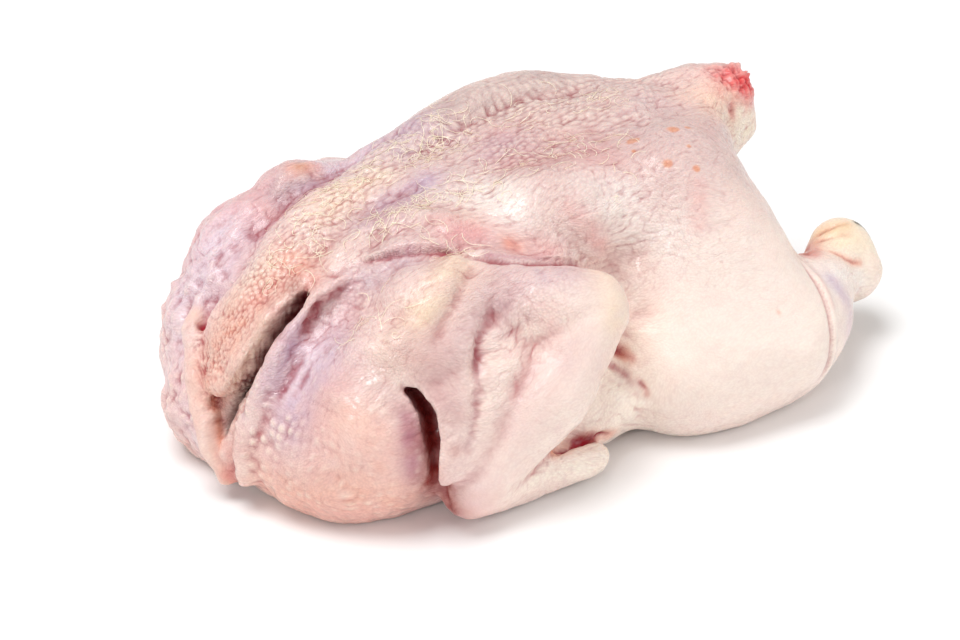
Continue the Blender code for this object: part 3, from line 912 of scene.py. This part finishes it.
def shade_of_relief(colours, places):
    """Follicles are paler and creamier; ridges are paler, partly their own cream and partly painted
    light; hollows get painted shade, darker and redder.
    """
    fine = np.clip(hollows(skin, places, 5) / 0.22, -1.4, 1.2)
    broad = np.clip(hollows(skin, places, 36) / 1.3, -1.4, 1.0)
    # paler ridge tops: the follicle bumps' own cream, and painted light on the rounded ridges
    ridge_pale_and_lit = np.clip(bump_height * 0.32 + np.clip(fine, 0, 1) * 0.16, 0, 0.6)
    colours += (np.array(RIDGE_CREAM_AND_LIGHT) - colours) * ridge_pale_and_lit[:, None]
    on_follicle = np.clip(dot_height**1.6 * 0.9, 0, 0.75)
    colours += (np.array(FOLLICLE_CREAM) - colours) * on_follicle[:, None]
    # painted shade: darker and redder in the fine creases and the broad hollows
    painted_shade = np.clip(-fine, 0, 1.4) * 0.22 + np.clip(-broad, 0, 1.4) * 0.36
    colours *= 1 - painted_shade[:, None] * (0.75, 1.25, 1.2)
    return np.clip(colours, 0, 1)


def put_colours(thing, name, colours):
    layer = thing.data.color_attributes.new(name, "FLOAT_COLOR", "POINT")
    layer.data.foreach_set("color", np.column_stack([colours, np.ones(len(colours))]).ravel())


def node(tree, kind, **settings):
    made = tree.nodes.new(kind)
    for key, value in settings.items():
        setattr(made, key, value)
    return made


def noise(tree, size):
    """Noise whose lumps are about this size in metres."""
    place = node(tree, "ShaderNodeTexCoord")
    scale = node(tree, "ShaderNodeMapping")
    scale.inputs["Scale"].default_value = (1 / size, 1 / size, 1 / size)
    texture = node(tree, "ShaderNodeTexNoise")
    texture.inputs["Scale"].default_value = 1
    texture.inputs["Detail"].default_value = 3
    tree.links.new(place.outputs["Object"], scale.inputs["Vector"])
    tree.links.new(scale.outputs["Vector"], texture.inputs["Vector"])
    return texture.outputs["Fac"]


def ramp(tree, value, low, high):
    """The value carried from 0..1 to low..high."""
    carry = node(tree, "ShaderNodeMapRange")
    carry.inputs["To Min"].default_value = low
    carry.inputs["To Max"].default_value = high
    tree.links.new(value, carry.inputs["Value"])
    return carry.outputs["Result"]


PEBBLES_PER_UNIT = (0.62, 1.2, 1.2)


def raw_skin_material():
    """Moist skin: a pebbled relief over the tints where it is loose, smooth where it is taut, with
    painted shade between the pebbles and painted light on their tops.
    """
    material = bpy.data.materials.new("raw_skin")
    material.use_nodes = True
    tree = material.node_tree
    shader = tree.nodes["Principled BSDF"]
    tint = node(tree, "ShaderNodeAttribute", attribute_name="tint")
    lie = node(tree, "ShaderNodeAttribute", attribute_name="lie").outputs["Vector"]
    loose = node(tree, "ShaderNodeAttribute", attribute_name="loose").outputs["Fac"]
    scale = node(tree, "ShaderNodeMapping")
    scale.inputs["Scale"].default_value = PEBBLES_PER_UNIT
    pebble = node(tree, "ShaderNodeTexVoronoi", feature="SMOOTH_F1")
    pebble.inputs["Scale"].default_value = 1
    pebble.inputs["Smoothness"].default_value = 0.35
    tree.links.new(lie, scale.inputs["Vector"])
    tree.links.new(scale.outputs["Vector"], pebble.inputs["Vector"])
    wrinkle = ramp(tree, pebble.outputs["Distance"], 1, 0)
    # painted shade in the hollows between the pebbles and painted light on their tops, multiplied into
    # the tint where the skin is loose
    pebble_shaded_tint = node(tree, "ShaderNodeMix", data_type="RGBA", blend_type="MULTIPLY")
    shade = node(tree, "ShaderNodeMix", data_type="RGBA")
    shade.inputs["A"].default_value = (0.91, 0.85, 0.85, 1)
    shade.inputs["B"].default_value = (1.05, 1.05, 1.04, 1)
    span = node(tree, "ShaderNodeMapRange")
    span.inputs["From Min"].default_value = 0.25
    span.inputs["From Max"].default_value = 0.75
    tree.links.new(wrinkle, span.inputs["Value"])
    tree.links.new(span.outputs["Result"], shade.inputs["Factor"])
    tree.links.new(ramp(tree, loose, 0.22, 0.85), pebble_shaded_tint.inputs["Factor"])
    tree.links.new(tint.outputs["Color"], pebble_shaded_tint.inputs["A"])
    tree.links.new(shade.outputs["Result"], pebble_shaded_tint.inputs["B"])
    tree.links.new(pebble_shaded_tint.outputs["Result"], shader.inputs["Base Color"])
    tree.links.new(ramp(tree, noise(tree, 0.008), 0.36, 0.62), shader.inputs["Roughness"])
    shader.inputs["Specular IOR Level"].default_value = 0.3
    shader.inputs["Subsurface Weight"].default_value = 0.12
    shader.inputs["Subsurface Radius"].default_value = (1.0, 0.42, 0.28)
    shader.inputs["Subsurface Scale"].default_value = 0.002
    wet = node(tree, "ShaderNodeMath", operation="MULTIPLY")
    tree.links.new(ramp(tree, noise(tree, 0.0035), -0.6, 1.4), wet.inputs[0])
    tree.links.new(ramp(tree, loose, 0.3, 1.0), wet.inputs[1])
    tree.links.new(wet.outputs["Value"], shader.inputs["Coat Weight"])
    shader.inputs["Coat Roughness"].default_value = 0.13
    bump = node(tree, "ShaderNodeBump")
    bump.inputs["Distance"].default_value = 0.0005
    tree.links.new(ramp(tree, loose, 0.2, 0.6), bump.inputs["Strength"])
    tree.links.new(wrinkle, bump.inputs["Height"])
    tree.links.new(bump.outputs["Normal"], shader.inputs["Normal"])
    return material


skin_colours = shade_of_relief(lay_tints(points), points)
put_colours(skin, "tint", skin_colours)
lie = skin.data.attributes.new("lie", "FLOAT_VECTOR", "POINT")
lie.data.foreach_set("vector", along_skin.astype(np.float32).ravel())
slack = skin.data.attributes.new("loose", "FLOAT", "POINT")
slack.data.foreach_set("value", looseness.astype(np.float32))
skin.data.vertices.foreach_set("co", ((points + to_frame) * unit).astype(np.float32).ravel())
skin.data.update()
skin.data.shade_smooth()
skin.data.materials.clear()
skin.data.materials.append(raw_skin_material())
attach(skin, "root")
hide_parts("chicken")


# The filoplumes, the fine hairs that plucking leaves.
# They are pale yellow horn, and curl over the back, the neck and the hips. Each is one thin
# tapering strand that grows out of the skin and lies down over it.
# thickness at the root in metres, and how far the hair arches in layout units
HAIR_ROOT = 0.00013
HAIR_ARCH = 0.88
HAIR_STEPS = 9
# patch of hairs: path, reach, number
HAIRS = (
    (((70, 6, 110), (20, 26, 110), (-10, 28, 106)), 14, 90),
    (((-10, 26, 106), (-44, 26, 102), (-76, 20, 96)), 13, 120),
    (((-20, -14, 106), (-50, -8, 102), (-66, -6, 100)), 13, 90),
    (((10, -20, 108), (40, -30, 109)), 18, 50),
    (((-84, 8, 94), (-104, 4, 86)), 10, 30),
    (((-60, -34, 97), (-44, -40, 98)), 7, 16),
    (((-106, -30, 78), (-88, -46, 86)), 12, 14),
)
surface = BVHTree.FromPolygons(
    [tuple(place) for place in points],
    [tuple(face.vertices) for face in skin.data.polygons],
)


def strand(start, heading, length, curl, draw):
    """The middle line of one hair, in layout units, lying over the skin."""
    place = Vector(start)
    turn = draw.uniform(-curl, curl)
    line = []
    for step in range(HAIR_STEPS):
        share = step / (HAIR_STEPS - 1)
        spot, outward, _, _ = surface.find_nearest(place)
        rise = 0.04 + HAIR_ARCH * math.sin(share * 2.2) * draw.uniform(0.6, 1.0)
        line.append((spot + outward * rise, outward))
        heading = (heading - outward * heading.dot(outward)).normalized()
        side = outward.cross(heading)
        turn += draw.uniform(-curl, curl) * 0.4
        heading = (heading * math.cos(turn) + side * math.sin(turn)).normalized()
        place = spot + heading * length / HAIR_STEPS
    return line


def tube(line, radius, sides=3):
    """A thin tapering tube along a line, as points and faces in layout units."""
    rings = []
    for index, (place, outward) in enumerate(line):
        ahead = line[min(index + 1, len(line) - 1)][0] - line[max(index - 1, 0)][0]
        side = ahead.cross(outward).normalized()
        across = side.cross(ahead).normalized()
        size = radius / unit * (1 - 0.6 * index / (len(line) - 1))
        for corner in range(sides):
            angle = 2 * math.pi * corner / sides + math.pi / 6
            rings.append(place + (side * math.cos(angle) + across * math.sin(angle)) * size)
    faces = []
    for ring, corner in itertools.product(range(len(line) - 1), range(sides)):
        here = ring * sides + corner
        beside = ring * sides + (corner + 1) % sides
        faces.append((here, beside, beside + sides, here + sides))
    faces.append(tuple(range(sides))[::-1])
    faces.append(tuple(len(rings) - sides + corner for corner in range(sides)))
    return np.array([place[:] for place in rings]), faces


def hair_material():
    material = bpy.data.materials.new("pale_hair")
    material.use_nodes = True
    tree = material.node_tree
    shader = tree.nodes["Principled BSDF"]
    mix = node(tree, "ShaderNodeMix", data_type="RGBA")
    mix.inputs["A"].default_value = (1.0, 0.94, 0.80, 1)
    mix.inputs["B"].default_value = (0.98, 0.86, 0.60, 1)
    tree.links.new(noise(tree, 0.006), mix.inputs["Factor"])
    tree.links.new(mix.outputs["Result"], shader.inputs["Base Color"])
    shader.inputs["Roughness"].default_value = 0.35
    return material


def hairs():
    draw = np.random.default_rng(7)
    pieces = []
    for path, reach, count in HAIRS:
        path = rounded_path(path)
        for _ in range(count):
            middle = path[draw.integers(len(path))] + draw.normal(0, reach * 0.5, 3)
            root, _, _, _ = surface.find_nearest(Vector(middle))
            ahead = draw.choice((-1, 1)) * 0.7
            heading = Vector((ahead, draw.uniform(-1, 1), draw.uniform(-0.3, 0.3)))
            line = strand(root, heading, draw.uniform(7, 18), 0.4, draw)
            pieces.append(tube(line, HAIR_ROOT * draw.uniform(0.7, 1.1)))
    thing = joined("hairs", pieces, to_frame)
    thing.data.materials.append(hair_material())
    return thing


hair_piece = hairs()
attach(hair_piece, "root")


# The floor, the light and the camera.
# A plain white table under soft light from above, seen from in front of the left shoulder.
CAMERA_TURN = math.radians(-40)
CAMERA_RISE = math.radians(30)
CAMERA_DISTANCE = 1100 * unit
CAMERA_AIM = (np.array((-27, -28, 50)) + to_frame) * unit


def floor():
    bpy.ops.mesh.primitive_plane_add(size=6, location=(0, 0, -0.0002))
    plane = bpy.context.object
    plane.name = "floor"
    material = bpy.data.materials.new("white_table")
    material.use_nodes = True
    shader = material.node_tree.nodes["Principled BSDF"]
    shader.inputs["Base Color"].default_value = (0.97, 0.97, 0.97, 1)
    shader.inputs["Roughness"].default_value = 0.7
    plane.data.materials.append(material)
    return plane


def lamp(name, power, size, place):
    data = bpy.data.lights.new(name, "AREA")
    data.energy = power
    data.size = size
    thing = bpy.data.objects.new(name, data)
    thing.location = place
    thing.rotation_euler = (Vector((0, 0, 0.04)) - Vector(place)).to_track_quat("-Z", "Y").to_euler()
    bpy.context.scene.collection.objects.link(thing)


floor()
lamp("overhead", 51.0, 1.5, (-0.7, 0.3, 2.6))
lamp("left", 7.0, 0.35, (-1.8, -1.0, 1.2))
lamp("right", 17.0, 1.6, (1.3, -1.9, 1.2))
world = bpy.data.worlds.new("world")
world.use_nodes = True
world.node_tree.nodes["Background"].inputs["Color"].default_value = (1, 1, 1, 1)
world.node_tree.nodes["Background"].inputs["Strength"].default_value = 0.42
bpy.context.scene.world = world
bpy.context.scene.view_settings.view_transform = "Standard"

back_way = Vector((
    math.sin(CAMERA_TURN) * math.cos(CAMERA_RISE),
    -math.cos(CAMERA_TURN) * math.cos(CAMERA_RISE),
    math.sin(CAMERA_RISE),
))
camera = bpy.data.objects.new("camera", bpy.data.cameras.new("camera"))
camera.data.lens = 100
camera.data.clip_start = 0.01
camera.location = Vector(CAMERA_AIM) + back_way * CAMERA_DISTANCE
camera.rotation_euler = back_way.to_track_quat("Z", "Y").to_euler()
bpy.context.scene.collection.objects.link(camera)
bpy.context.scene.camera = camera
